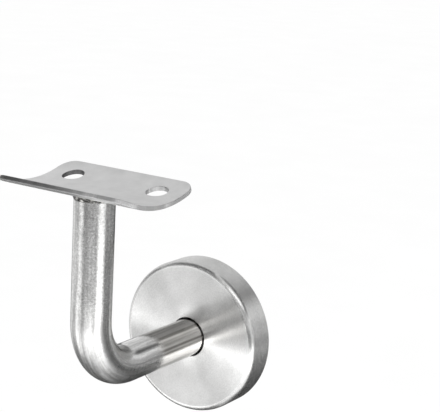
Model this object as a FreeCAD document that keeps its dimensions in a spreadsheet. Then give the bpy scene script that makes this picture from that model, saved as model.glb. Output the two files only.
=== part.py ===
import FreeCAD, Part
import os

import Sketcher

# Handrail bracket in stainless steel: a curved saddle plate on a bent round rod,
# whose tail is welded into a round wall plate under a drawn cover.
# Frame: the origin is the middle of the wall plate on the wall, +Z is up, the wall
# is the plane y = 0, the room lies towards -Y and the handrail runs along X.

DRIVING_SIZES = [
    # bent rod, from the wall to the axis of its upright leg and up to the saddle
    ("rod_diameter", "14"),
    ("wall_distance", "69"),
    ("rail_rise", "63.5"),
    ("bend_radius", "20"),
    ("rod_top_chamfer", "1.2"),
    ("rod_tail_recess", "0.5"),
    # saddle plate, rolled round the handrail's axis
    ("saddle_length", "56"),
    ("saddle_chord", "37"),
    ("saddle_radius", "42"),
    ("saddle_sheet", "1.5"),
    ("saddle_corner", "5.5"),
    ("saddle_edge", "0.3"),
    ("rail_hole_diameter", "7.6"),
    ("rail_hole_spacing", "36"),
    ("rail_hole_offset", "10"),
    # drawn cover
    ("cover_diameter", "58"),
    ("cover_depth", "11.5"),
    ("cover_sheet", "1"),
    ("cover_inside_bend", "1"),
    ("cover_lip_edge", "0.25"),
    ("cover_rod_clearance", "0.5"),
    # wall plate
    ("plate_cover_clearance", "0.2"),
    ("plate_thickness", "5"),
    ("plate_edge_chamfer", "0.8"),
    ("seam_chamfer", "2"),
    ("screw_circle", "38"),
    ("screw_hole_diameter", "5.5"),
    ("screw_head_diameter", "11"),
    ("screw_head_angle", "90"),
    ("screw_count", "3"),
    # weld seams
    ("top_seam_spread", "0.35"),
    ("top_seam_roundness", "1.5"),
    ("tail_seam_sink", "0.3"),
    ("tail_seam_crown", "0.2"),
]
WORKED_OUT_SIZES = [
    ("rod_radius", "=rod_diameter / 2"),
    ("rod_reach", "=wall_distance - rod_tail_recess"),
    ("rod_straight", "=rod_reach - bend_radius"),
    ("rod_tail_chamfer", "=seam_chamfer - rod_tail_recess"),
    ("saddle_under_radius", "=saddle_radius + saddle_sheet"),
    ("rail_hole_radius", "=rail_hole_diameter / 2"),
    ("cover_radius", "=cover_diameter / 2"),
    ("cover_inner_radius", "=cover_radius - cover_sheet"),
    ("cover_outside_bend", "=cover_inside_bend + cover_sheet"),
    ("cover_face_radius", "=cover_radius - cover_outside_bend"),
    ("cover_hole_radius", "=rod_radius + cover_rod_clearance"),
    ("cover_inner_depth", "=cover_depth - cover_sheet"),
    ("cover_wall_depth", "=cover_depth - cover_outside_bend"),
    ("plate_radius", "=cover_inner_radius - plate_cover_clearance"),
    ("screw_hole_radius", "=screw_hole_diameter / 2"),
    ("screw_circle_radius", "=screw_circle / 2"),
    ("top_seam_root", "=rod_radius - rod_top_chamfer"),
    ("top_seam_edge", "=rod_radius + top_seam_spread"),
    ("saddle_lift", "=saddle_under_radius - sqrt(saddle_under_radius ^ 2 - top_seam_edge ^ 2)"),
    ("top_seam_height", "=2 * rod_top_chamfer + saddle_lift"),
    ("top_seam_face", "=top_seam_roundness * top_seam_height"),
    ("saddle_axis_height", "=rod_top_chamfer + saddle_under_radius"),
    ("tail_seam_edge", "=rod_radius + seam_chamfer - tail_seam_sink"),
    ("tail_seam_root", "=rod_radius - rod_tail_chamfer"),
    ("tail_seam_width", "=tail_seam_edge - tail_seam_root"),
    ("tail_seam_fall", "=rod_tail_recess - tail_seam_sink"),
    ("tail_seam_half", "=sqrt(tail_seam_width ^ 2 + tail_seam_fall ^ 2) / 2"),
    ("tail_seam_face", "=(tail_seam_half ^ 2 + tail_seam_crown ^ 2) / (2 * tail_seam_crown)"),
]

doc = FreeCAD.newDocument("handrail_bracket")
sheet = doc.addObject("Spreadsheet::Sheet", "Sizes")
for row, (alias, content) in enumerate(DRIVING_SIZES + WORKED_OUT_SIZES, start=1):
    sheet.set(f"A{row}", alias)
    sheet.set(f"B{row}", content)
    sheet.setAlias(f"B{row}", alias)
doc.recompute()

TOLERANCE = 1e-4


def size(alias):
    """The present value of a named size as a plain number."""
    return float(sheet.get(alias))


def bind(thing, where, alias, sign=""):
    """Ties a property or a constraint to a named size."""
    thing.setExpression(where, f"{sign}Sizes.{alias}")


def new_body(label):
    body = doc.addObject("PartDesign::Body", label)
    body.Label = label
    return body


def new_sketch(body, name, role):
    """A sketch on the body's own origin plane of that role."""
    sketch = body.newObject("Sketcher::SketchObject", name)
    plane = next(item for item in body.Origin.OriginFeatures if item.Role == role)
    sketch.AttachmentSupport = [(plane, "")]
    sketch.MapMode = "FlatFace"
    return sketch


def new_feature(body, kind, name, profile=None):
    feature = body.newObject(f"PartDesign::{kind}", name)
    if profile is not None:
        feature.Profile = profile
    return feature


def sized(sketch, kind, where, alias):
    """Adds a constraint that carries a named size."""
    index = sketch.addConstraint(Sketcher.Constraint(kind, *where, size(alias)))
    bind(sketch, f"Constraints[{index}]", alias)


def fix_point(sketch, where, x_alias, y_alias):
    """Holds a point at two named distances from the sketch's origin; None puts it on the axis."""
    if x_alias is None:
        sketch.addConstraint(Sketcher.Constraint("PointOnObject", *where, -2))
    else:
        sized(sketch, "DistanceX", (-1, 1, *where), x_alias)
    if y_alias is None:
        sketch.addConstraint(Sketcher.Constraint("PointOnObject", *where, -1))
    else:
        sized(sketch, "DistanceY", (-1, 1, *where), y_alias)


def spot(x_alias, y_alias):
    """A sketch point at two named distances from the origin."""
    return FreeCAD.Vector(size(x_alias) if x_alias else 0, size(y_alias) if y_alias else 0, 0)


def arc_through(start, end, radius, bulge_left):
    """The short arc from start to end, with its middle on the left or right of that way."""
    half = (end - start) / 2
    left = FreeCAD.Vector(-half.y, half.x, 0).normalize()
    side = left if bulge_left else -left
    drop = radius - (radius ** 2 - half.Length ** 2) ** 0.5
    return Part.Arc(start, start + half + side * drop, end)


def outline(sketch, corners, arcs=None):
    """Closes a profile through named corners. arcs maps a stretch's number to its radius
    and to whether it bulges to the left of its way."""
    arcs = arcs or {}
    count = len(corners)
    for number, corner in enumerate(corners):
        start, end = spot(*corner), spot(*corners[(number + 1) % count])
        if number in arcs:
            radius_alias, bulge_left = arcs[number]
            sketch.addGeometry(arc_through(start, end, size(radius_alias), bulge_left))
        else:
            sketch.addGeometry(Part.LineSegment(start, end))
    ends = [find_ends(sketch, number, spot(*corner)) for number, corner in enumerate(corners)]
    for number, corner in enumerate(corners):
        following = (number + 1) % count
        link = (number, ends[number][1], following, ends[following][0])
        sketch.addConstraint(Sketcher.Constraint("Coincident", *link))
        fix_point(sketch, (number, ends[number][0]), *corner)
    for number, (radius_alias, _) in arcs.items():
        sized(sketch, "Radius", (number,), radius_alias)


def find_ends(sketch, number, start):
    """Which of a stretch's two end points is its start: arcs always run anticlockwise."""
    first = sketch.getPoint(number, 1)
    return (1, 2) if first.distanceToPoint(start) < TOLERANCE else (2, 1)


def circle_at(sketch, x_alias, y_alias, radius_alias):
    upwards = FreeCAD.Vector(0, 0, 1)
    index = sketch.addGeometry(Part.Circle(spot(x_alias, y_alias), upwards, size(radius_alias)))
    fix_point(sketch, (index, 3), x_alias, y_alias)
    sized(sketch, "Radius", (index,), radius_alias)


def edge_names(shape, wanted):
    """The names of the edges of a shape that a test accepts."""
    return [f"Edge{number}" for number, edge in enumerate(shape.Edges, start=1) if wanted(edge)]


def closed_round(y, z):
    """A test for closed edges whose middle is a point of the plane x = 0."""
    middle = FreeCAD.Vector(0, y, z)
    return lambda edge: edge.isClosed() and edge.CenterOfMass.distanceToPoint(middle) < TOLERANCE


def as_long_as(alias):
    """A test for edges of a named length."""
    return lambda edge: abs(edge.Length - size(alias)) < TOLERANCE


def ring_at(radius, height):
    """A test for full circles of a radius, centred on the local Z axis at a height."""
    def wanted(edge):
        curve = edge.Curve
        if not isinstance(curve, Part.Circle) or abs(curve.Radius - radius) > TOLERANCE:
            return False
        return curve.Center.distanceToPoint(FreeCAD.Vector(0, 0, height)) < TOLERANCE
    return wanted


def dress(body, kind, name, base, names, alias):
    """Chamfers or rounds the named edges of a feature by a named size."""
    feature = new_feature(body, kind, name)
    feature.Base = (base, names)
    bind(feature, "Size" if kind == "Chamfer" else "Radius", alias)
    doc.recompute()
    return feature


def revolve(body, sketch, name):
    """Turns a profile once round the local Z axis."""
    turned = new_feature(body, "Revolution", name, sketch)
    turned.ReferenceAxis = (sketch, ["V_Axis"])
    turned.Angle = 360
    doc.recompute()
    return turned


def stand_on_wall(body):
    """Turns a piece made along its own Z axis so that it points into the room."""
    body.Placement = FreeCAD.Placement(FreeCAD.Vector(), FreeCAD.Rotation(FreeCAD.Vector(1, 0, 0), 90))


def make_bent_rod():
    """Round bar along a straight, one quarter bend and an upright leg, chamfered at both ends.
    Its own frame starts at the tail's end, with the level leg along +Y."""
    body = new_body("bent_rod")
    path = new_sketch(body, "rod_path", "YZ_Plane")
    bend_start, bend_end = spot("rod_straight", None), spot("rod_reach", "bend_radius")
    path.addGeometry(Part.LineSegment(FreeCAD.Vector(), bend_start))
    path.addGeometry(arc_through(bend_start, bend_end, size("bend_radius"), False))
    path.addGeometry(Part.LineSegment(bend_end, spot("rod_reach", "rail_rise")))
    path.addConstraint(Sketcher.Constraint("Coincident", 0, 1, -1, 1))
    path.addConstraint(Sketcher.Constraint("Horizontal", 0))
    path.addConstraint(Sketcher.Constraint("Vertical", 2))
    path.addConstraint(Sketcher.Constraint("Tangent", 0, 2, 1, 1))
    path.addConstraint(Sketcher.Constraint("Tangent", 1, 2, 2, 1))
    sized(path, "Radius", (1,), "bend_radius")
    fix_point(path, (2, 2), "rod_reach", "rail_rise")
    section = new_sketch(body, "rod_section", "XZ_Plane")
    circle_at(section, None, None, "rod_radius")
    swept = new_feature(body, "AdditivePipe", "rod_sweep", section)
    swept.Spine = (path, ["Edge1", "Edge2", "Edge3"])
    doc.recompute()
    tail_ring = edge_names(swept.Shape, closed_round(0, 0))
    tail = dress(body, "Chamfer", "tail_chamfer", swept, tail_ring, "rod_tail_chamfer")
    top_ring = edge_names(tail.Shape, closed_round(size("rod_reach"), size("rail_rise")))
    dress(body, "Chamfer", "top_chamfer", tail, top_ring, "rod_top_chamfer")
    body.Placement = FreeCAD.Placement(FreeCAD.Vector(), FreeCAD.Rotation(FreeCAD.Vector(0, 0, 1), 180))
    bind(body, "Placement.Base.y", "rod_tail_recess", "-")
    return body


def make_saddle():
    """Sheet rolled to an arc round the handrail, with round corners and edges. Two screw holes are
    drilled parallel to the upright leg, beside the rod on the wall's side. Its own frame starts in
    the middle of its lowest line, underneath."""
    body = new_body("saddle")
    section = new_sketch(body, "saddle_section", "YZ_Plane")
    axis = spot(None, "saddle_under_radius")
    half_chord = size("saddle_chord") / 2
    upper = FreeCAD.Vector(half_chord, axis.y - (size("saddle_radius") ** 2 - half_chord ** 2) ** 0.5, 0)
    stretch = size("saddle_under_radius") / size("saddle_radius")
    lower = axis + (upper - axis) * stretch
    upper_left, lower_left = FreeCAD.Vector(-upper.x, upper.y, 0), FreeCAD.Vector(-lower.x, lower.y, 0)
    inner = section.addGeometry(Part.Arc(upper_left, spot(None, "saddle_sheet"), upper))
    outer = section.addGeometry(Part.Arc(lower_left, FreeCAD.Vector(), lower))
    right = section.addGeometry(Part.LineSegment(upper, lower))
    left = section.addGeometry(Part.LineSegment(upper_left, lower_left))
    for line, end in ((right, 2), (left, 1)):
        section.addConstraint(Sketcher.Constraint("Coincident", inner, end, line, 1))
        section.addConstraint(Sketcher.Constraint("Coincident", outer, end, line, 2))
    section.addConstraint(Sketcher.Constraint("Coincident", inner, 3, outer, 3))
    fix_point(section, (inner, 3), None, "saddle_under_radius")
    sized(section, "Radius", (inner,), "saddle_radius")
    sized(section, "Radius", (outer,), "saddle_under_radius")
    section.addConstraint(Sketcher.Constraint("Symmetric", inner, 1, inner, 2, -2))
    sized(section, "DistanceX", (inner, 1, inner, 2), "saddle_chord")
    for line in (right, left):
        section.addConstraint(Sketcher.Constraint("PointOnObject", inner, 3, line))
    rolled = new_feature(body, "Pad", "rolled_sheet", section)
    rolled.SideType = "Symmetric"
    bind(rolled, "Length", "saddle_length")
    doc.recompute()
    across_sheet = as_long_as("saddle_sheet")
    corner_edges = edge_names(rolled.Shape, across_sheet)
    corners = dress(body, "Fillet", "round_corners", rolled, corner_edges, "saddle_corner")
    rims = edge_names(corners.Shape, lambda edge: not across_sheet(edge))
    edges = dress(body, "Fillet", "round_edges", corners, rims, "saddle_edge")
    holes = new_sketch(body, "rail_holes", "XY_Plane")
    bind(holes, "AttachmentOffset.Base.z", "saddle_under_radius")
    apart, aside = size("rail_hole_spacing") / 2, size("rail_hole_offset")
    upwards = FreeCAD.Vector(0, 0, 1)
    centres = [FreeCAD.Vector(side * apart, aside, 0) for side in (-1, 1)]
    pair = [
        holes.addGeometry(Part.Circle(centre, upwards, size("rail_hole_radius")))
        for centre in centres
    ]
    holes.addConstraint(Sketcher.Constraint("Equal", *pair))
    holes.addConstraint(Sketcher.Constraint("Symmetric", pair[0], 3, pair[1], 3, -2))
    sized(holes, "DistanceY", (-1, 1, pair[1], 3), "rail_hole_offset")
    sized(holes, "DistanceX", (pair[0], 3, pair[1], 3), "rail_hole_spacing")
    sized(holes, "Radius", (pair[0],), "rail_hole_radius")
    drilled = new_feature(body, "Pocket", "drilled_holes", holes)
    drilled.Type = "ThroughAll"
    doc.recompute()
    if drilled.Shape.Volume > edges.Shape.Volume - TOLERANCE:
        raise RuntimeError("the saddle's holes cut nothing")
    bind(body, "Placement.Base.y", "wall_distance", "-")
    bind(body, "Placement.Base.z", "rail_rise")
    return body


def make_cover():
    """Drawn cup: flat face with the rod's hole, bent edge and a straight wall down to the wall."""
    body = new_body("cover")
    profile = new_sketch(body, "cover_profile", "XZ_Plane")
    corners = [
        ("cover_radius", None),
        ("cover_radius", "cover_wall_depth"),
        ("cover_face_radius", "cover_depth"),
        ("cover_hole_radius", "cover_depth"),
        ("cover_hole_radius", "cover_inner_depth"),
        ("cover_face_radius", "cover_inner_depth"),
        ("cover_inner_radius", "cover_wall_depth"),
        ("cover_inner_radius", None),
    ]
    outline(profile, corners, {1: ("cover_outside_bend", False), 5: ("cover_inside_bend", True)})
    drawn = revolve(body, profile, "drawn_cup")
    lip = edge_names(drawn.Shape, ring_at(size("cover_hole_radius"), size("cover_depth")))
    rim = edge_names(drawn.Shape, ring_at(size("cover_radius"), 0))
    dress(body, "Fillet", "broken_edges", drawn, lip + rim, "cover_lip_edge")
    stand_on_wall(body)
    return body


def make_base_plate():
    """Round wall plate with a bore for the rod's tail, chamfered at the back for the weld seam,
    and countersunk screw holes round it."""
    body = new_body("base_plate")
    disc = new_sketch(body, "plate_outline", "XY_Plane")
    circle_at(disc, None, None, "plate_radius")
    circle_at(disc, None, None, "rod_radius")
    blank = new_feature(body, "Pad", "plate_blank", disc)
    bind(blank, "Length", "plate_thickness")
    doc.recompute()
    front_rim = edge_names(blank.Shape, ring_at(size("plate_radius"), size("plate_thickness")))
    edged = dress(body, "Chamfer", "front_chamfer", blank, front_rim, "plate_edge_chamfer")
    back_bore = edge_names(edged.Shape, ring_at(size("rod_radius"), 0))
    grooved = dress(body, "Chamfer", "seam_groove", edged, back_bore, "seam_chamfer")
    centres = new_sketch(body, "screw_centre", "XY_Plane")
    bind(centres, "AttachmentOffset.Base.z", "plate_thickness")
    circle_at(centres, None, "screw_circle_radius", "screw_hole_radius")
    doc.recompute()
    hole = new_feature(body, "Hole", "screw_hole", centres)
    hole.ThreadType = "None"
    hole.DepthType = "ThroughAll"
    hole.HoleCutType = "Countersink"
    bind(hole, "Diameter", "screw_hole_diameter")
    bind(hole, "HoleCutDiameter", "screw_head_diameter")
    bind(hole, "HoleCutCountersinkAngle", "screw_head_angle")
    doc.recompute()
    if hole.Shape.Volume > grooved.Shape.Volume - TOLERANCE:
        raise RuntimeError("the screw hole cuts nothing")
    ring = new_feature(body, "PolarPattern", "screw_ring")
    ring.Originals = [hole]
    ring.Axis = (centres, ["N_Axis"])
    ring.Angle = 360
    bind(ring, "Occurrences", "screw_count")
    body.Tip = ring
    doc.recompute()
    stand_on_wall(body)
    return body


def make_base_weld():
    """Seam that fills the groove between the rod's tail and the plate's bore, a little below the
    wall face, with a low crown."""
    body = new_body("base_weld")
    profile = new_sketch(body, "tail_seam_profile", "XZ_Plane")
    corners = [
        ("rod_radius", "seam_chamfer"),
        ("tail_seam_root", "rod_tail_recess"),
        ("tail_seam_edge", "tail_seam_sink"),
    ]
    outline(profile, corners, {1: ("tail_seam_face", False)})
    revolve(body, profile, "tail_seam")
    stand_on_wall(body)
    return body


def make_saddle_weld():
    """Seam in the groove between the rod's chamfered top and the saddle's curved underside. A hollow
    ring is turned and then cut to the underside. Its own frame starts at the chamfer's lower edge."""
    body = new_body("saddle_weld")
    profile = new_sketch(body, "top_seam_profile", "XZ_Plane")
    corners = [
        ("rod_radius", None),
        ("top_seam_edge", "top_seam_height"),
        ("top_seam_root", "top_seam_height"),
        ("top_seam_root", "rod_top_chamfer"),
    ]
    outline(profile, corners, {0: ("top_seam_face", True)})
    ring = revolve(body, profile, "top_seam")
    underside = new_sketch(body, "saddle_underside", "YZ_Plane")
    circle_at(underside, None, "saddle_axis_height", "saddle_under_radius")
    trimmed = new_feature(body, "Pocket", "trim_to_saddle", underside)
    trimmed.SideType = "Symmetric"
    bind(trimmed, "Length", "saddle_length")
    doc.recompute()
    if trimmed.Shape.Volume > ring.Shape.Volume - TOLERANCE:
        raise RuntimeError("the saddle's underside cuts nothing off the seam")
    bind(body, "Placement.Base.y", "wall_distance", "-")
    body.setExpression("Placement.Base.z", "Sizes.rail_rise - Sizes.rod_top_chamfer")
    return body


bodies = [
    make_saddle(),
    make_bent_rod(),
    make_cover(),
    make_base_plate(),
    make_saddle_weld(),
    make_base_weld(),
]
doc.recompute()

for item in doc.Objects:
    if "Invalid" in item.State or "Error" in item.State:
        raise RuntimeError(f"{item.Label} did not recompute: {item.State}")
for body in bodies:
    if body.Shape.isNull() or not body.Shape.isValid():
        raise RuntimeError(f"{body.Label} has no valid shape")

os.makedirs("parts", exist_ok=True)
for body in bodies:
    body.Shape.exportStep(f"parts/{body.Label}.step")
    print(body.Label, len(body.Shape.Solids), round(body.Shape.Volume, 2))
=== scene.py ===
import math

import bpy
import bmesh
import numpy as np
from mathutils import Matrix, Vector


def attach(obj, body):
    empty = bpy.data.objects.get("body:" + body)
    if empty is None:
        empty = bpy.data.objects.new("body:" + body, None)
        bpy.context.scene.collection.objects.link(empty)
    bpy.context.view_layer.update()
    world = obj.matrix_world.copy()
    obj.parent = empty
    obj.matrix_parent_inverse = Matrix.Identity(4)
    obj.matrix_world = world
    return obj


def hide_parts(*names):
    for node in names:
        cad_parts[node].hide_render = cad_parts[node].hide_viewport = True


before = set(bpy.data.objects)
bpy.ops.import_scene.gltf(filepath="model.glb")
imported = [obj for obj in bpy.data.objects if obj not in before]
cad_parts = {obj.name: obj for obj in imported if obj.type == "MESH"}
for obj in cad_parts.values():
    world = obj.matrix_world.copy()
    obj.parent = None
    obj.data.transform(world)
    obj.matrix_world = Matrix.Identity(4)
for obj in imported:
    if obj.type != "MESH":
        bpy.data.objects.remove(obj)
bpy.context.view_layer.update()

# Sizes in metres, in the frame of the part: origin on the wall, room towards -Y, +Z up.
MM = 0.001
ROD_RADIUS = 7 * MM
ROD_AWAY = 69 * MM  # from the wall to the upright leg's axis
ROD_TOP = 63.5 * MM
ROD_TAIL = 0.5 * MM  # from the wall to the rod's tail
TAIL_CHAMFER = 1.5 * MM
TOP_CHAMFER = 1.2 * MM
BEND = 20 * MM
SADDLE_INSIDE = 42 * MM  # radius of the trough
SADDLE_SHEET = 1.5 * MM
SADDLE_HALF_LENGTH = 28 * MM
SADDLE_HALF_CHORD = 18.5 * MM
SADDLE_CORNER = 5.5 * MM
SADDLE_AXIS = ROD_TOP + SADDLE_SHEET + SADDLE_INSIDE
HOLE_RADIUS = 3.8 * MM
HOLE_ALONG = 18 * MM
HOLE_ASIDE = 10 * MM
COVER_RADIUS = 29 * MM
COVER_DEPTH = 11.5 * MM
COVER_SHEET = 1 * MM
COVER_HOLE = 7.5 * MM

# Points once round each turned piece, and along the saddle's middle line.
ROD_AROUND = 128
COVER_AROUND = 288
TOP_SEAM_AROUND = 220
TAIL_SEAM_AROUND = 240
MIDDLE_POINTS = 40


def put_in_scene(name, data):
    """An object with this mesh, lamp or camera, linked to the scene."""
    made = bpy.data.objects.new(name, data)
    bpy.context.scene.collection.objects.link(made)
    return made


# Surfaces on a grid

def grid_quads(rows, columns, round_rows=False, round_columns=False):
    """The quads between neighbouring points of a grid, and the grid steps at their corners. A round
    direction joins its last line to its first."""
    row = np.arange(rows if round_rows else rows - 1)
    column = np.arange(columns if round_columns else columns - 1)
    row, column = [part.ravel() for part in np.meshgrid(row, column, indexing="ij")]
    row_steps = np.stack([row, row, row + 1, row + 1], axis=1)
    column_steps = np.stack([column, column + 1, column + 1, column], axis=1)
    corners = (row_steps % rows) * columns + column_steps % columns
    return corners, row_steps, column_steps


def make_piece(name, points, quads, corner_uv, slot, stands_for, **marks):
    """One closed mesh from an array of points and an array of quads. Points that fall together are
    joined, so that seams and poles close. marks are numbers or vectors kept on the points."""
    mesh = bpy.data.meshes.new(name)
    mesh.from_pydata(points.reshape(-1, 3), [], quads)
    uv_layer = mesh.uv_layers.new(name="run")
    uv_layer.uv.foreach_set("vector", np.ascontiguousarray(corner_uv, np.float32).ravel())
    for mark, values in marks.items():
        kind = "FLOAT_VECTOR" if values.shape[-1] == 3 and values.ndim == 2 else "FLOAT"
        layer = mesh.attributes.new(mark, kind, "POINT")
        field = "vector" if kind == "FLOAT_VECTOR" else "value"
        layer.data.foreach_set(field, np.ascontiguousarray(values, np.float32).ravel())
    work = bmesh.new()
    work.from_mesh(mesh)
    bmesh.ops.remove_doubles(work, verts=work.verts, dist=1e-7)
    work.to_mesh(mesh)
    work.free()
    mesh.polygons.foreach_set("use_smooth", np.ones(len(mesh.polygons), bool))
    mesh.update()
    piece = put_in_scene(name, mesh)
    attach(piece, "root")
    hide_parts(stands_for)
    return piece


def rounded(corners, radii, closed, steps=6, longest=1 * MM):
    """Walks along straight lines through the corners and swaps each corner for an arc of its own
    radius. A point just outside each arc keeps the flats flat, and long flats are divided."""
    corners = np.asarray(corners, float)
    count = len(corners)
    line = []
    for number in range(count):
        here = corners[number]
        if radii[number] == 0:
            line.append(here)
            continue
        before, after = corners[number - 1], corners[(number + 1) % count]
        back = (before - here) / np.linalg.norm(before - here)
        ahead = (after - here) / np.linalg.norm(after - here)
        half = math.acos(np.clip(back @ ahead, -1, 1)) / 2
        reach = radii[number] / math.tan(half)
        middle = here + (back + ahead) / np.linalg.norm(back + ahead) * radii[number] / math.sin(half)
        start, end = here + back * reach - middle, here + ahead * reach - middle
        turn = math.pi - 2 * half
        along = np.linspace(0, 1, steps + 1)[:, None]
        arc = (np.sin((1 - along) * turn) * start + np.sin(along * turn) * end) / math.sin(turn)
        guard = min(0.2 * radii[number], 0.1 * MM)
        line.append(here + back * (reach + guard))
        line.extend(middle + arc)
        line.append(here + ahead * (reach + guard))
    line = np.array(line)
    following = np.roll(line, -1, axis=0) if closed else line[1:]
    pieces = []
    for start, end in zip(line, following):
        parts = max(1, math.ceil(np.linalg.norm(end - start) / longest))
        pieces.append(start + (end - start) * np.arange(parts)[:, None] / parts)
    if not closed:
        pieces.append(line[-1:])
    return np.concatenate(pieces)


def run_along(line, closed):
    """Distance walked along a line of points, with one value more than points if it is closed."""
    walked = np.concatenate([line, line[:1]]) if closed else line
    return np.concatenate([[0], np.cumsum(np.linalg.norm(np.diff(walked, axis=0), axis=1))])


def turned(name, outline, around, place, slot, stands_for, ripple=None):
    """Turns a closed outline of (radius, height) once round an axis: a point is (radius * cos angle,
    height, radius * sin angle). place carries it into the frame of the part; ripple gives how far
    each point is pushed in radius and in height."""
    run = run_along(outline, True)
    angle = np.arange(around) * 2 * math.pi / around
    radius = np.repeat(outline[:, :1], around, axis=1)
    height = np.repeat(outline[:, 1:], around, axis=1)
    if ripple is not None:
        push_out, push_up = ripple(angle[None, :], outline)
        radius, height = radius + push_out, height + push_up
    points = place(radius * np.cos(angle), height, radius * np.sin(angle))
    quads, row_steps, column_steps = grid_quads(len(outline), around, True, True)
    mean_radius = float(outline[:, 0].mean())
    uv = np.stack([column_steps * 2 * math.pi * mean_radius / around, run[row_steps]], axis=-1) / MM
    return make_piece(name, points, quads, uv, slot, stands_for)


# Bent rod

def rod_line(along):
    """Centreline of the rod by distance from its tail: level, a quarter circle, then upright.
    Gives the point and the direction that points to the inside of the bend."""
    level = ROD_AWAY - ROD_TAIL - BEND
    turn = np.clip((along - level) / BEND, 0, math.pi / 2)
    upright = np.maximum(along - level - BEND * math.pi / 2, 0)
    still = np.zeros_like(along)
    centre = np.stack([
        still,
        -ROD_TAIL - np.minimum(along, level) - BEND * np.sin(turn),
        BEND * (1 - np.cos(turn)) + upright,
    ], axis=-1)
    inside = np.stack([still, np.sin(turn), np.cos(turn)], axis=-1)
    return centre, inside


def make_rod():
    """Round section carried along the centreline: a point is centre + radius * (cos angle * X + sin
    angle * inside). The radius falls at both chamfers, and the ends close in a pole."""
    length = (ROD_AWAY - ROD_TAIL - BEND) + BEND * math.pi / 2 + (ROD_TOP - BEND)
    outline = rounded(
        [
            (0, 0),
            (ROD_RADIUS - TAIL_CHAMFER, 0),
            (ROD_RADIUS, TAIL_CHAMFER),
            (ROD_RADIUS, length - TOP_CHAMFER),
            (ROD_RADIUS - TOP_CHAMFER, length),
            (0, length),
        ],
        [0, 0.1 * MM, 0.3 * MM, 0.3 * MM, 0.1 * MM, 0],
        closed=False, longest=0.7 * MM,
    )
    angle = np.arange(ROD_AROUND) * 2 * math.pi / ROD_AROUND
    centre, inside = rod_line(outline[:, 1])
    radius = outline[:, 0, None, None]
    sideways = np.array([1.0, 0, 0])
    across = np.cos(angle)[None, :, None] * sideways + np.sin(angle)[None, :, None] * inside[:, None, :]
    points = centre[:, None, :] + radius * across
    quads, row_steps, column_steps = grid_quads(len(outline), ROD_AROUND, False, True)
    run = run_along(outline, False)
    uv = np.stack([run[row_steps], column_steps * 2 * math.pi * ROD_RADIUS / ROD_AROUND], axis=-1) / MM
    straight = np.stack([
        radius[..., 0] * np.cos(angle),
        radius[..., 0] * np.sin(angle),
        np.repeat(outline[:, 1:], ROD_AROUND, axis=1),
    ], axis=-1)
    return make_piece("bent_rod_bar", points, quads, uv, "rod_steel", "bent_rod",
                      straightened=straight.reshape(-1, 3))


# Saddle

def half_sheet_edge(inset):
    """Edge of the right half of the flat sheet, (along, across), anticlockwise from the middle of
    its front edge and back down the middle line: straight lines with a quarter circle at both
    corners. inset pulls the outer edge inwards."""
    long_side = SADDLE_HALF_LENGTH - inset
    across = SADDLE_INSIDE * math.asin(SADDLE_HALF_CHORD / SADDLE_INSIDE) - inset
    corner = SADDLE_CORNER - inset
    straight = long_side - corner
    front = np.stack([np.linspace(0, straight, 26)[:-1], np.full(25, -across)], axis=1)
    turn = np.linspace(-math.pi / 2, 0, 17)[:-1]
    near = np.stack([straight + corner * np.cos(turn), corner - across + corner * np.sin(turn)], axis=1)
    side = np.stack([np.full(30, long_side), np.linspace(corner - across, across - corner, 31)[:-1]], axis=1)
    turn = turn + math.pi / 2
    far = np.stack([straight + corner * np.cos(turn), across - corner + corner * np.sin(turn)], axis=1)
    rear = np.stack([np.linspace(straight, 0, 26)[:-1], np.full(25, across)], axis=1)
    middle = np.stack([np.zeros(MIDDLE_POINTS), np.linspace(across, -across, MIDDLE_POINTS + 1)[:-1]], axis=1)
    return np.concatenate([front, near, side, far, rear, middle])


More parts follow.
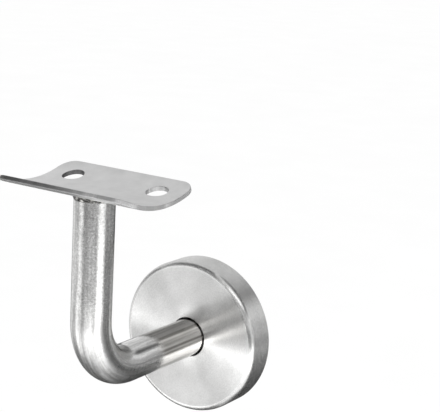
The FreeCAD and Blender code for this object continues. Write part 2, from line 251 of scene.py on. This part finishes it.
def make_saddle():
    """Each half of the sheet is walked from the screw hole's rim to the sheet's edge, round the edge,
    back underneath and up the hole's wall. A point between rim and edge lies on the straight line
    between them seen from above, and its height is that of the rolled sheet: axis - sqrt(radius^2 -
    across^2). Round edges are quarter circles of depth against inset."""
    edge_round, hole_break = 0.3 * MM, 0.12 * MM
    rows, cut_rows = [], []

    def rolled(flat, depth):
        """The flat sheet's points seen from above once it is rolled."""
        roll = SADDLE_INSIDE + depth
        return np.stack([flat[:, 0], roll * np.sin(flat[:, 1] / SADDLE_INSIDE)], axis=1)

    def lifted(plan, depth):
        """Points seen from above, put at the height of the rolled sheet's surface at this depth."""
        height = SADDLE_AXIS - np.sqrt((SADDLE_INSIDE + depth) ** 2 - plan[:, 1] ** 2)
        return np.column_stack([plan[:, 0], plan[:, 1] - ROD_AWAY, height])

    centre = np.array([HOLE_ALONG, HOLE_ASIDE])
    outer = rolled(half_sheet_edge(edge_round), 0) - centre
    rim_angle = np.arctan2(outer[:, 1], outer[:, 0])
    rim = np.stack([np.cos(rim_angle), np.sin(rim_angle)], axis=1)
    steps = np.concatenate([[0, 0.004], np.linspace(0.03, 0.97, 28), [0.996, 1]])

    def surface(depth, ways):
        """Rows from the hole's rim (way 0) to the sheet's edge (way 1)."""
        start = centre + rim * (HOLE_RADIUS + hole_break)
        end = rolled(half_sheet_edge(edge_round), depth)
        return [lifted(start + (end - start) * way, depth) for way in ways]

    def edge(depth, inset):
        """A row round the sheet's edge, at right angles to the rolled sheet."""
        flat = half_sheet_edge(inset)
        roll = SADDLE_INSIDE + depth
        turn = flat[:, 1] / SADDLE_INSIDE
        return np.column_stack([flat[:, 0], roll * np.sin(turn) - ROD_AWAY, SADDLE_AXIS - roll * np.cos(turn)])

    def wall(share_down, radius):
        """A row round the upright hole, at a share of the way from its upper to its lower rim."""
        plan = centre + rim * radius
        top, under = lifted(plan, 0), lifted(plan, SADDLE_SHEET)
        thickness = top[:, 2:] - under[:, 2:]
        return np.column_stack([top[:, :2], top[:, 2:] - share_down * thickness])

    quarter = np.linspace(0, math.pi / 2, 6)
    rows += surface(0, steps)
    cut_rows += [0] * len(steps)
    for turn in quarter[1:]:
        rows.append(edge(edge_round * (1 - math.cos(turn)), edge_round * (1 - math.sin(turn))))
        cut_rows.append(math.sin(turn))
    for share in np.linspace(0, 1, 6)[1:-1]:
        rows.append(edge(edge_round + share * (SADDLE_SHEET - 2 * edge_round), 0))
        cut_rows.append(1)
    for turn in quarter[::-1][:-1]:
        rows.append(edge(SADDLE_SHEET - edge_round * (1 - math.cos(turn)), edge_round * (1 - math.sin(turn))))
        cut_rows.append(math.sin(turn))
    edge_rows = range(len(steps) - 1, len(rows))
    rows += surface(SADDLE_SHEET, steps[::-1])
    cut_rows += [0] * len(steps)
    lower_break = hole_break / SADDLE_SHEET
    for turn in quarter[1:]:
        share = 1 - lower_break * (1 - math.cos(turn))
        rows.append(wall(share, HOLE_RADIUS + hole_break * (1 - math.sin(turn))))
        cut_rows.append(1)
    for share in np.linspace(1 - lower_break, lower_break, 6)[1:-1]:
        rows.append(wall(share, HOLE_RADIUS))
        cut_rows.append(1)
    for turn in quarter[::-1][:-1]:
        share = lower_break * (1 - math.cos(turn))
        rows.append(wall(share, HOLE_RADIUS + hole_break * (1 - math.sin(turn))))
        cut_rows.append(1)

    points = np.array(rows)
    row_count, column_count = points.shape[:2]
    quads, row_steps, column_steps = grid_quads(row_count, column_count, True, True)
    on_middle = column_steps[:, 0] >= column_count - MIDDLE_POINTS
    on_edge = np.isin(row_steps[:, 0], list(edge_rows))
    kept = ~(on_middle & on_edge)
    quads = quads[kept][:, ::-1]
    run = run_along(half_sheet_edge(0), True)[:-1]
    mirrored = points * np.array([-1.0, 1, 1])
    both = np.concatenate([points.reshape(-1, 3), mirrored.reshape(-1, 3)])
    both_quads = np.concatenate([quads, quads[:, ::-1] + len(both) // 2])
    cut = np.repeat(np.array(cut_rows, float), column_count)
    cut = np.concatenate([cut, cut])
    edge_run = np.tile(run / MM, 2 * row_count)
    uv = both[both_quads][..., :2] / MM
    return make_piece("saddle_plate", both, both_quads, uv, "saddle_steel", "saddle",
                      cut=cut[:, None], edge_run=edge_run[:, None])


# Cover

def into_wall_frame(across, away, up):
    """Axis of turning along the wall's normal: height counts from the wall into the room."""
    return np.stack([across, -away, up], axis=-1)


def make_cover():
    """Cup's outline in (radius, distance from the wall), turned once round the wall's normal: up the
    outside, round the bend, over the face into the rod's hole and back along the inside."""
    outline = rounded(
        [
            (COVER_RADIUS, 0),
            (COVER_RADIUS, COVER_DEPTH),
            (COVER_HOLE, COVER_DEPTH),
            (COVER_HOLE, COVER_DEPTH - COVER_SHEET),
            (COVER_RADIUS - COVER_SHEET, COVER_DEPTH - COVER_SHEET),
            (COVER_RADIUS - COVER_SHEET, 0),
        ],
        [0.25 * MM, 2 * MM, 0.25 * MM, 0.1 * MM, 1 * MM, 0.1 * MM],
        closed=True, steps=10, longest=0.8 * MM,
    )
    return turned("cover_cup", outline, COVER_AROUND, into_wall_frame, "cover_steel", "cover")


# Weld seams

def make_top_seam():
    """Ring in the groove between the rod's chamfer and the saddle: an outline with a rounded face,
    turned round the upright leg, with its upper edge lifted to the saddle's curved underside. The
    scales are a saw wave round the ring, sunk below the face by depth * phase^1.6."""
    under = SADDLE_INSIDE + SADDLE_SHEET
    bottom, root = ROD_TOP - TOP_CHAMFER, ROD_RADIUS - TOP_CHAMFER
    flare, bulge_height, scale_depth, scale_count = 0.3 * MM, 0.16 * MM, 0.1 * MM, 30
    around = TOP_SEAM_AROUND
    angle = np.arange(around) * 2 * math.pi / around
    face = np.linspace(0, 1, 13)
    bulge = bulge_height * np.sin(np.pi * face)
    wobble = 0.35 * np.sin(3 * angle + 0.7) + 0.22 * np.sin(7 * angle + 2.1)
    phase = (scale_count * angle[None, :] / (2 * math.pi) + wobble + 0.9 * (face[:, None] - 0.5) ** 2) % 1.0
    sink = scale_depth * phase ** 1.6 * np.sin(np.pi * face)[:, None]
    radius = ROD_RADIUS + flare * face[:, None] + bulge[:, None] - sink
    inner = np.linspace(1, 0, 5)[1:, None] * (ROD_RADIUS + flare - root) + root
    radius = np.concatenate([radius, np.repeat(inner, around, axis=1)])
    share = np.concatenate([face, np.ones(4)])[:, None]
    across = radius * np.sin(angle)
    ceiling = SADDLE_AXIS - np.sqrt(under ** 2 - across ** 2)
    height = bottom + share * (ceiling - bottom)
    points = np.stack([radius * np.cos(angle), across - ROD_AWAY, height], axis=-1)
    corner_line = np.stack([
        root * np.cos(angle), root * np.sin(angle) - ROD_AWAY, np.full(around, ROD_TOP),
    ], axis=-1)
    points = np.concatenate([points, corner_line[None]])
    quads, row_steps, column_steps = grid_quads(len(points), around, True, True)
    uv = np.stack([column_steps * 2 * math.pi * ROD_RADIUS / around / MM, row_steps * 0.15], axis=-1)
    return make_piece("top_seam", points, quads, uv, "weld_steel", "saddle_weld")


def make_tail_seam():
    """Ring in the groove between the rod's tail and the plate's bore, in (radius, distance from the
    wall), with scales like the top seam's on its face towards the wall."""
    inner, outer, scale_depth, scale_count = 5.5 * MM, 8.7 * MM, 0.12 * MM, 34
    outline = rounded(
        [(ROD_RADIUS, 2 * MM), (inner, 0.5 * MM), (7.1 * MM, 0.14 * MM), (outer, 0.3 * MM)],
        [0.05 * MM, 0.05 * MM, 1.0 * MM, 0.05 * MM], closed=True, steps=8, longest=0.25 * MM,
    )

    def ripple(angle, outline):
        """How far the scales push each point outwards and away from the wall."""
        share = np.clip((outline[:, :1] - inner) / (outer - inner), 0, 1)
        faces_wall = outline[:, 1:] < 0.6 * MM
        wobble = 0.35 * np.sin(2 * angle + 0.4) + 0.2 * np.sin(5 * angle + 2.0)
        phase = (scale_count * angle / (2 * math.pi) + wobble + 1.2 * (share - 0.5) ** 2) % 1.0
        sink = scale_depth * phase ** 1.6 * np.sin(np.pi * share) * faces_wall
        return sink * 0, sink

    return turned("tail_seam", outline, TAIL_SEAM_AROUND, into_wall_frame, "weld_steel", "base_weld", ripple)


# Finishes

def new_finish(name):
    """A material, its node tree and its shader."""
    material = bpy.data.materials.new(name)
    material.use_nodes = True
    tree = material.node_tree
    return material, tree, tree.nodes["Principled BSDF"]


def put(tree, kind, inputs=(), **settings):
    """Adds a node, sets its properties and fills its inputs with values or other nodes' outputs."""
    made = tree.nodes.new(kind)
    for setting, value in settings.items():
        setattr(made, setting, value)
    for where, value in dict(inputs).items():
        if isinstance(value, bpy.types.NodeSocket):
            tree.links.new(value, made.inputs[where])
        else:
            made.inputs[where].default_value = value
    return made


def on_object(tree):
    """The point on the piece, in metres in the frame of the part."""
    return put(tree, "ShaderNodeTexCoord").outputs["Object"]


def on_mark(tree, mark, output="Vector"):
    """A number or vector kept on the piece's points."""
    return put(tree, "ShaderNodeAttribute", attribute_name=mark).outputs[output]


def grain(tree, vector, per_metre, detail=3.0, roughness=0.55):
    """Noise from 0 to 1, with its own number of spots per metre in each direction."""
    spread = put(tree, "ShaderNodeMapping", {"Vector": vector, "Scale": per_metre}).outputs["Vector"]
    noise = put(tree, "ShaderNodeTexNoise", {
        "Vector": spread, "Scale": 1.0, "Detail": detail, "Roughness": roughness,
    })
    return noise.outputs["Fac"]


def ranged(tree, value, low, high, to_low, to_high, smooth=False):
    """Carries low..high over to to_low..to_high and holds it at both ends."""
    return put(tree, "ShaderNodeMapRange", {
        "Value": value, "From Min": low, "From Max": high, "To Min": to_low, "To Max": to_high,
    }, interpolation_type="SMOOTHSTEP" if smooth else "LINEAR").outputs["Result"]


def maths(tree, operation, first, second=0.5):
    """One sum of two numbers, each a value or a node's output."""
    return put(tree, "ShaderNodeMath", {0: first, 1: second}, operation=operation).outputs[0]


def product(tree, first, *factors):
    """All the numbers multiplied, from the left."""
    for factor in factors:
        first = maths(tree, "MULTIPLY", first, factor)
    return first


def weighed(tree, *parts):
    """Sum of value * weight over pairs of both, from the left."""
    total = maths(tree, "MULTIPLY", *parts[0])
    for value, weight in parts[1:]:
        total = maths(tree, "ADD", total, maths(tree, "MULTIPLY", value, weight))
    return total


def between(tree, share, first, second):
    """A colour between two, each three numbers or a node's output."""
    ends = [end if isinstance(end, bpy.types.NodeSocket) else (*end, 1) for end in (first, second)]
    return put(tree, "ShaderNodeMix", {0: share, 6: ends[0], 7: ends[1]}, data_type="RGBA").outputs[2]


def fill(tree, shader, colour, roughness, height, depth, strength):
    """Bare metal with this colour, roughness and fine relief."""
    relief = put(tree, "ShaderNodeBump", {"Height": height, "Distance": depth, "Strength": strength})
    shader.inputs["Metallic"].default_value = 1.0
    tree.links.new(colour, shader.inputs["Base Color"])
    tree.links.new(roughness, shader.inputs["Roughness"])
    tree.links.new(relief.outputs["Normal"], shader.inputs["Normal"])


def brush(tree, shader, amount, rotation):
    """Stretches the highlights against the piece's run, as brushing does."""
    shader.inputs["Anisotropic"].default_value = amount
    shader.inputs["Anisotropic Rotation"].default_value = rotation
    tangent = put(tree, "ShaderNodeTangent", direction_type="UV_MAP", uv_map="run").outputs["Tangent"]
    tree.links.new(tangent, shader.inputs["Tangent"])


def round_the_wall_normal(tree):
    """Across, up and height along the axis of the cover and plate, and the radius round it:
    sqrt(across^2 + up^2)."""
    place = put(tree, "ShaderNodeSeparateXYZ", {"Vector": on_object(tree)})
    across, along, up = place.outputs["X"], place.outputs["Y"], place.outputs["Z"]
    return across, up, along, maths(tree, "SQRT", weighed(tree, (across, across), (up, up)))


def matt_saddle_steel():
    """Even matt sheet: fine lines along the saddle, faint clouds, and a sheared edge with notches
    across its thickness, with painted shade at its -X end and a painted highlight at its +X end."""
    material, tree, shader = new_finish("saddle_matt_steel")
    place = on_object(tree)
    clouds = grain(tree, place, (160, 160, 160), 2)
    lines = grain(tree, place, (120, 2600, 2600), 3)
    fine = grain(tree, place, (2600, 2600, 2600), 2)
    face_tone = weighed(tree, (clouds, 0.6), (lines, 0.4))
    face = between(tree, ranged(tree, face_tone, 0.3, 0.7, 0, 1), (0.6, 0.6, 0.6), (0.72, 0.72, 0.72))
    cut = on_mark(tree, "cut", "Fac")
    round_edge = put(tree, "ShaderNodeCombineXYZ", {"X": on_mark(tree, "edge_run", "Fac")}).outputs["Vector"]
    stretches, nicks = grain(tree, round_edge, (0.12, 1, 1), 2), grain(tree, round_edge, (4.1, 1, 1), 4, 0.7)
    notches = product(tree, stretches, nicks)
    along = put(tree, "ShaderNodeSeparateXYZ", {"Vector": place}).outputs["X"]
    # Painted light on the cut edge: its colour runs from dark at -X to light at +X.
    painted_edge_light = ranged(tree, along, -14 * MM, 20 * MM, 0.25, 0.72, True)
    shade = product(tree, painted_edge_light, ranged(tree, notches, 0.24, 0.38, 0.75, 1.25))
    edge = put(tree, "ShaderNodeCombineColor", {"Red": shade, "Green": shade, "Blue": shade}).outputs["Color"]
    roughness = maths(tree, "ADD", ranged(tree, lines, 0.3, 0.7, 0.42, 0.56), product(tree, cut, 0.14))
    fill(tree, shader, between(tree, cut, face, edge), roughness,
         weighed(tree, (lines, 0.7), (fine, 0.3)), depth=0.02 * MM, strength=0.5)
    return material


def brushed_rod_steel():
    """Bar brushed along its length: soft streaks and a fine speckle, more streaks in the bend,
    smoother inside the bend, and polished next to the cover, with painted reflections there: soft light and
    dark lines in its colour."""
    material, tree, shader = new_finish("rod_brushed_steel")
    straight = on_mark(tree, "straightened")
    streaks = grain(tree, straight, (1100, 1100, 70), 3)
    lines = grain(tree, straight, (420, 420, 4200), 3)
    clouds = grain(tree, straight, (220, 220, 90), 2)
    speckle = grain(tree, straight, (1500, 1500, 1300), 2)
    parts = put(tree, "ShaderNodeSeparateXYZ", {"Vector": straight})
    along, inward = parts.outputs["Z"], parts.outputs["Y"]
    polished = ranged(tree, along, 33 * MM, 41 * MM, 1, 0, True)
    in_bend = product(tree, ranged(tree, along, 34 * MM, 37 * MM, 0, 1, True),
                      ranged(tree, along, 78 * MM, 92 * MM, 1, 0, True))
    inside = product(tree, in_bend, ranged(tree, inward, -1 * MM, 2.5 * MM, 0, 1, True))
    outside = product(tree, in_bend, ranged(tree, inward, 2 * MM, -2 * MM, 0, 1, True))
    streaky = ranged(tree, in_bend, 0, 1, 0.35, 0.55)
    speckled = maths(tree, "SUBTRACT", 0.8, streaky)
    tone = weighed(tree, (streaks, streaky), (clouds, 0.2), (speckle, speckled))
    brightest = maths(tree, "MAXIMUM", polished, product(tree, inside, 0.4))
    share = maths(tree, "MAXIMUM", ranged(tree, tone, 0.4, 0.6, 0, 1), brightest)
    # Painted reflections: light and dark lines in the polished part's colour, tone 0.42 to 0.98.
    painted_reflection_stripes = ranged(tree, grain(tree, straight, (600, 600, 8), 1), 0.36, 0.54, 0, 1)
    painted_reflection_tone = between(tree, painted_reflection_stripes, (0.42, 0.405, 0.385), (0.98, 0.965, 0.94))
    bright = between(tree, polished, (0.74, 0.74, 0.735), painted_reflection_tone)
    colour = between(tree, share, (0.43, 0.43, 0.425), bright)
    roughness = product(
        tree, ranged(tree, lines, 0.3, 0.7, 0.2, 0.28), ranged(tree, polished, 0, 1, 1, 0.35),
        ranged(tree, inside, 0, 1, 1, 0.6), ranged(tree, outside, 0, 1, 1, 1.35))
    smooth = maths(tree, "MAXIMUM", polished, inside)
    height = product(tree, weighed(tree, (lines, 0.5), (speckle, 0.5)), ranged(tree, smooth, 0, 1, 1, 0.25))
    fill(tree, shader, colour, roughness, height, depth=0.01 * MM, strength=0.4)
    brush(tree, shader, 0.6, 0.0)
    return material


def round_brushed_cover_steel():
    """Cup brushed in circles round the rod: fine rings by radius and depth, broken up by angle,
    smoother round the hole, over the bend and on the side."""
    material, tree, shader = new_finish("cover_round_brushed_steel")
    across, up, along, radius = round_the_wall_normal(tree)
    no_less = maths(tree, "MAXIMUM", radius, 0.01 * MM)
    ring = put(tree, "ShaderNodeCombineXYZ", {
        "X": maths(tree, "DIVIDE", across, no_less), "Y": maths(tree, "DIVIDE", up, no_less),
        "Z": maths(tree, "ADD", radius, along),
    }).outputs["Vector"]
    rings = grain(tree, ring, (9, 9, 6500), 3)
    strokes = grain(tree, ring, (16, 16, 3400), 2)
    speckle = grain(tree, on_object(tree), (1900, 1900, 1900), 2)
    clouds = grain(tree, on_object(tree), (150, 150, 150), 2)
    tone = weighed(tree, (strokes, 0.3), (clouds, 0.3), (speckle, 0.4))
    colour = between(tree, ranged(tree, tone, 0.36, 0.64, 0, 1), (0.55, 0.55, 0.545), (0.75, 0.75, 0.745))
    side = ranged(tree, along, -10.2 * MM, -9.6 * MM, 0, 1, True)
    rim = ranged(tree, radius, 26.7 * MM, 27.2 * MM, 0, 1, True)
    bent = product(tree, rim, maths(tree, "SUBTRACT", 1.0, side))
    roughness = product(
        tree, ranged(tree, strokes, 0.3, 0.7, 0.34, 0.42),
        ranged(tree, radius, 8 * MM, 14 * MM, 0.85, 1, True),
        ranged(tree, bent, 0, 1, 1, 0.65), ranged(tree, side, 0, 1, 1, 0.65))
    height = product(tree, weighed(tree, (rings, 0.35), (speckle, 0.65)), ranged(tree, bent, 0, 1, 1, 0.3))
    fill(tree, shader, colour, roughness, height, depth=0.003 * MM, strength=0.4)
    brush(tree, shader, 1.0, 0.25)
    return material


def turned_plate_steel():
    """Plate faced on a lathe: even turning rings and a dull skin."""
    material, tree, shader = new_finish("plate_turned_steel")
    feed = 0.35 * MM
    radius = round_the_wall_normal(tree)[3]
    rings = maths(tree, "SINE", product(tree, radius, 2 * math.pi / feed))
    clouds = grain(tree, on_object(tree), (140, 140, 140), 3)
    fine = grain(tree, on_object(tree), (1800, 1800, 1800), 2)
    tone = weighed(tree, (clouds, 0.7), (fine, 0.3))
    colour = between(tree, ranged(tree, tone, 0.3, 0.7, 0, 1), (0.46, 0.46, 0.455), (0.6, 0.6, 0.595))
    roughness = ranged(tree, fine, 0.3, 0.7, 0.36, 0.5)
    height = weighed(tree, (rings, 0.35), (fine, 0.3))
    fill(tree, shader, colour, roughness, height, depth=0.01 * MM, strength=0.6)
    return material


def weld_seam_steel(name, skin_and_shade_tone, clear):
    """Seam metal: dull skin with clear spots, faintly straw where the heat ran, and grainy. The
    caller's dark tone also carries painted shade: near black on the top seam under the saddle.
    """
    material, tree, shader = new_finish(name)
    clouds = grain(tree, on_object(tree), (700, 700, 1500), 3)
    fine = grain(tree, on_object(tree), (2400, 2400, 2400), 2)
    colour = between(tree, ranged(tree, clouds, 0.48, 0.64, 0, 1),
                     (skin_and_shade_tone, skin_and_shade_tone * 0.98, skin_and_shade_tone * 0.95), (clear, clear * 0.98, clear * 0.94))
    roughness = ranged(tree, fine, 0.3, 0.7, 0.28, 0.5)
    fill(tree, shader, colour, roughness, fine, depth=0.03 * MM, strength=0.5)
    return material


# Stage

STAGE_MIDDLE = Vector((0, -0.035, 0.02))
CARD_FADE = 12.0  # degrees
CARD_GRID = 4  # degrees between a card's points
FIRST_CARD, CARD_GAP = 0.46, 0.005  # metres from the middle to the nearest card, and between cards


def towards(compass, rise):
    """Unit vector at a compass angle (0 is +X, 90 is +Y) and a height angle, both in degrees."""
    turn, lift = np.radians(compass), np.radians(rise)
    return np.stack([np.cos(lift) * np.cos(turn), np.cos(lift) * np.sin(turn), np.sin(lift)], axis=-1)


def make_card(name, compass, rise, brightness, distance):
    """Curved card on a sphere round the part, between two compass angles and two height angles in
    degrees, seen only in reflections. A point is middle + distance * the unit vector towards its
    two angles. The edges fade out over CARD_FADE degrees, half inside the angles and half outside."""
    reach, steepest = CARD_FADE / 2, 89.0
    spans = [
        (compass[0] - reach, compass[1] + reach),
        (max(rise[0] - reach, -steepest), min(rise[1] + reach, steepest)),
    ]
    counts = [max(3, round((high - low) / CARD_GRID)) for low, high in spans]
    turn, lift = np.meshgrid(*[np.linspace(*span, count) for span, count in zip(spans, counts)], indexing="ij")
    points = towards(turn, lift) * distance + np.array(STAGE_MIDDLE)
    quads = grid_quads(*counts)[0]
    mesh = bpy.data.meshes.new(name)
    mesh.from_pydata(points.reshape(-1, 3), [], quads[:, ::-1])
    beyond = [np.minimum(grid - span[0], span[1] - grid) for grid, span in ((turn, spans[0]), (lift, spans[1]))]
    cover = np.minimum(*[np.clip(part / CARD_FADE, 0, 1) for part in beyond])
    layer = mesh.attributes.new("cover", "FLOAT", "POINT")
    layer.data.foreach_set("value", cover.astype(np.float32).ravel())
    material = bpy.data.materials.new(name + "_paper")
    material.use_nodes = True
    tree = material.node_tree
    tree.nodes.remove(tree.nodes["Principled BSDF"])
    glow = put(tree, "ShaderNodeEmission", {"Strength": brightness})
    clear = put(tree, "ShaderNodeBsdfTransparent")
    mix = put(tree, "ShaderNodeMixShader", {
        0: on_mark(tree, "cover", "Fac"), 1: clear.outputs[0], 2: glow.outputs[0],
    })
    tree.links.new(mix.outputs[0], tree.nodes["Material Output"].inputs["Surface"])
    mesh.materials.append(material)
    card = put_in_scene(name, mesh)
    card.visible_camera = card.visible_diffuse = card.visible_shadow = False


# Name, compass angles, height angles and brightness of each card; nearer cards come first.
STUDIO_CARDS = [
    ("low_black", (-186, 186), (-89, -68), 0.12),
    ("left_line_light", (-134, -114), (-20, 2), 1.4),
    ("right_light", (-26, 3), (-42, -12), 3.0),
    ("front_black", (-108, -28), (-22, 1), 0.27),
    ("low_front_light", (-84, -16), (-38, -20), 4.5),
    ("low_middle_light", (-108, -84), (-34, -22), 2.0),
    ("low_left_light", (-144, -122), (-46, -24), 3.2),
    ("lower_front_light", (-108, 0), (-64, -42), 1.5),
    ("low_left_black", (-210, -110), (-78, -48), 0.14),
    ("back_left_black", (150, 206), (-56, -30), 0.12),
    ("left_black", (-178, -134), (-4, 18), 0.12),
    ("front_black_strip", (-150, -98), (5, 24), 0.02),
    ("middle_black", (-94, -30), (14, 27), 0.1),
    ("top_left_black", (-170, -96), (24, 84), 0.1),
    ("back_right_black", (92, 134), (-30, -3), 0.03),
    ("right_dark_grey", (16, 72), (-22, -9), 0.4),
    ("right_black", (14, 156), (-78, -9), 0.02),
    ("right_grey", (18, 120), (-8, 10), 0.6),
    ("high_right_black", (-10, 70), (26, 84), 0.05),
    ("high_back_grey", (66, 130), (24, 60), 0.75),
]


def make_floor():
    """Plain pale floor: one level square, wide enough to reach the horizon."""
    mesh = bpy.data.meshes.new("floor")
    reach, level = 20.0, -0.6
    signs = ((-1, -1), (1, -1), (1, 1), (-1, 1))
    mesh.from_pydata([(across * reach, back * reach, level) for across, back in signs], [], [(0, 1, 2, 3)])
    material, tree, shader = new_finish("floor_paint")
    tint = grain(tree, on_object(tree), (6, 6, 6), 2)
    colour = between(tree, ranged(tree, tint, 0.3, 0.7, 0, 1), (0.985, 0.985, 0.985), (0.998, 0.998, 0.998))
    tree.links.new(colour, shader.inputs["Base Color"])
    shader.inputs["Roughness"].default_value = 0.9
    shader.inputs["Specular IOR Level"].default_value = 0.0
    mesh.materials.append(material)
    put_in_scene("floor", mesh)


def make_lamp(name, compass, rise, distance, width, height, brightness):
    """Area lamp on a sphere round the part, facing it. Angles and the lamp's sides are in degrees;
    its power is pi * area * brightness, so that it looks as bright as that in a mirror."""
    away = Vector(towards(compass, rise))
    light = bpy.data.lights.new(name, "AREA")
    light.shape = "RECTANGLE"
    light.size, light.size_y = [2 * distance * math.tan(math.radians(side) / 2) for side in (width, height)]
    light.energy = math.pi * light.size * light.size_y * brightness
    lamp = put_in_scene(name, light)
    lamp.location = STAGE_MIDDLE + away * distance
    lamp.rotation_mode = "QUATERNION"
    lamp.rotation_quaternion = (-away).to_track_quat("-Z", "Y")


def make_world():
    """Even white all round."""
    world = bpy.data.worlds.new("studio")
    world.use_nodes = True
    back = world.node_tree.nodes["Background"]
    back.inputs["Color"].default_value = (1, 1, 1, 1)
    back.inputs["Strength"].default_value = 1.0
    bpy.context.scene.world = world


def make_camera():
    """Camera at the viewing angle of the picture, given by its place, compass angle, height angle
    and roll."""
    place = Vector((268.68, -398.01, 158.5)) * MM
    compass, rise, roll = (math.radians(value) for value in (33.634, 12.851, 2.992))
    back = Vector((math.sin(compass) * math.cos(rise), -math.cos(compass) * math.cos(rise), math.sin(rise)))
    right = Vector((math.cos(compass), math.sin(compass), 0))
    up = back.cross(right)
    rolled_right = right * math.cos(roll) + up * math.sin(roll)
    rolled_up = up * math.cos(roll) - right * math.sin(roll)
    lens = bpy.data.cameras.new("camera")
    lens.sensor_width, lens.sensor_fit, lens.lens = 36, "HORIZONTAL", 107.3
    lens.clip_start, lens.clip_end = 0.01, 100
    camera = put_in_scene("camera", lens)
    turn = Matrix((rolled_right, rolled_up, back)).transposed()
    camera.matrix_world = Matrix.Translation(place) @ turn.to_4x4()
    bpy.context.scene.camera = camera


make_camera()
make_saddle().data.materials.append(matt_saddle_steel())
make_rod().data.materials.append(brushed_rod_steel())
make_cover().data.materials.append(round_brushed_cover_steel())
# The top seam's near-black tone, 0.04, is painted shade under the saddle.
make_top_seam().data.materials.append(weld_seam_steel("top_seam_painted_shade_steel", 0.04, 0.45))
make_tail_seam().data.materials.append(weld_seam_steel("tail_seam_clear_steel", 0.3, 0.5))
plate_steel = turned_plate_steel()
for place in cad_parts["base_plate"].material_slots:
    place.material = plate_steel

make_floor()
make_world()
for order, (name, compass, rise, brightness) in enumerate(STUDIO_CARDS):
    make_card(name, compass, rise, brightness, FIRST_CARD + CARD_GAP * order)
make_lamp("key_lamp", compass=-60, rise=40, distance=1.2, width=56, height=16, brightness=1.6)

bpy.context.scene.view_settings.view_transform = "Standard"
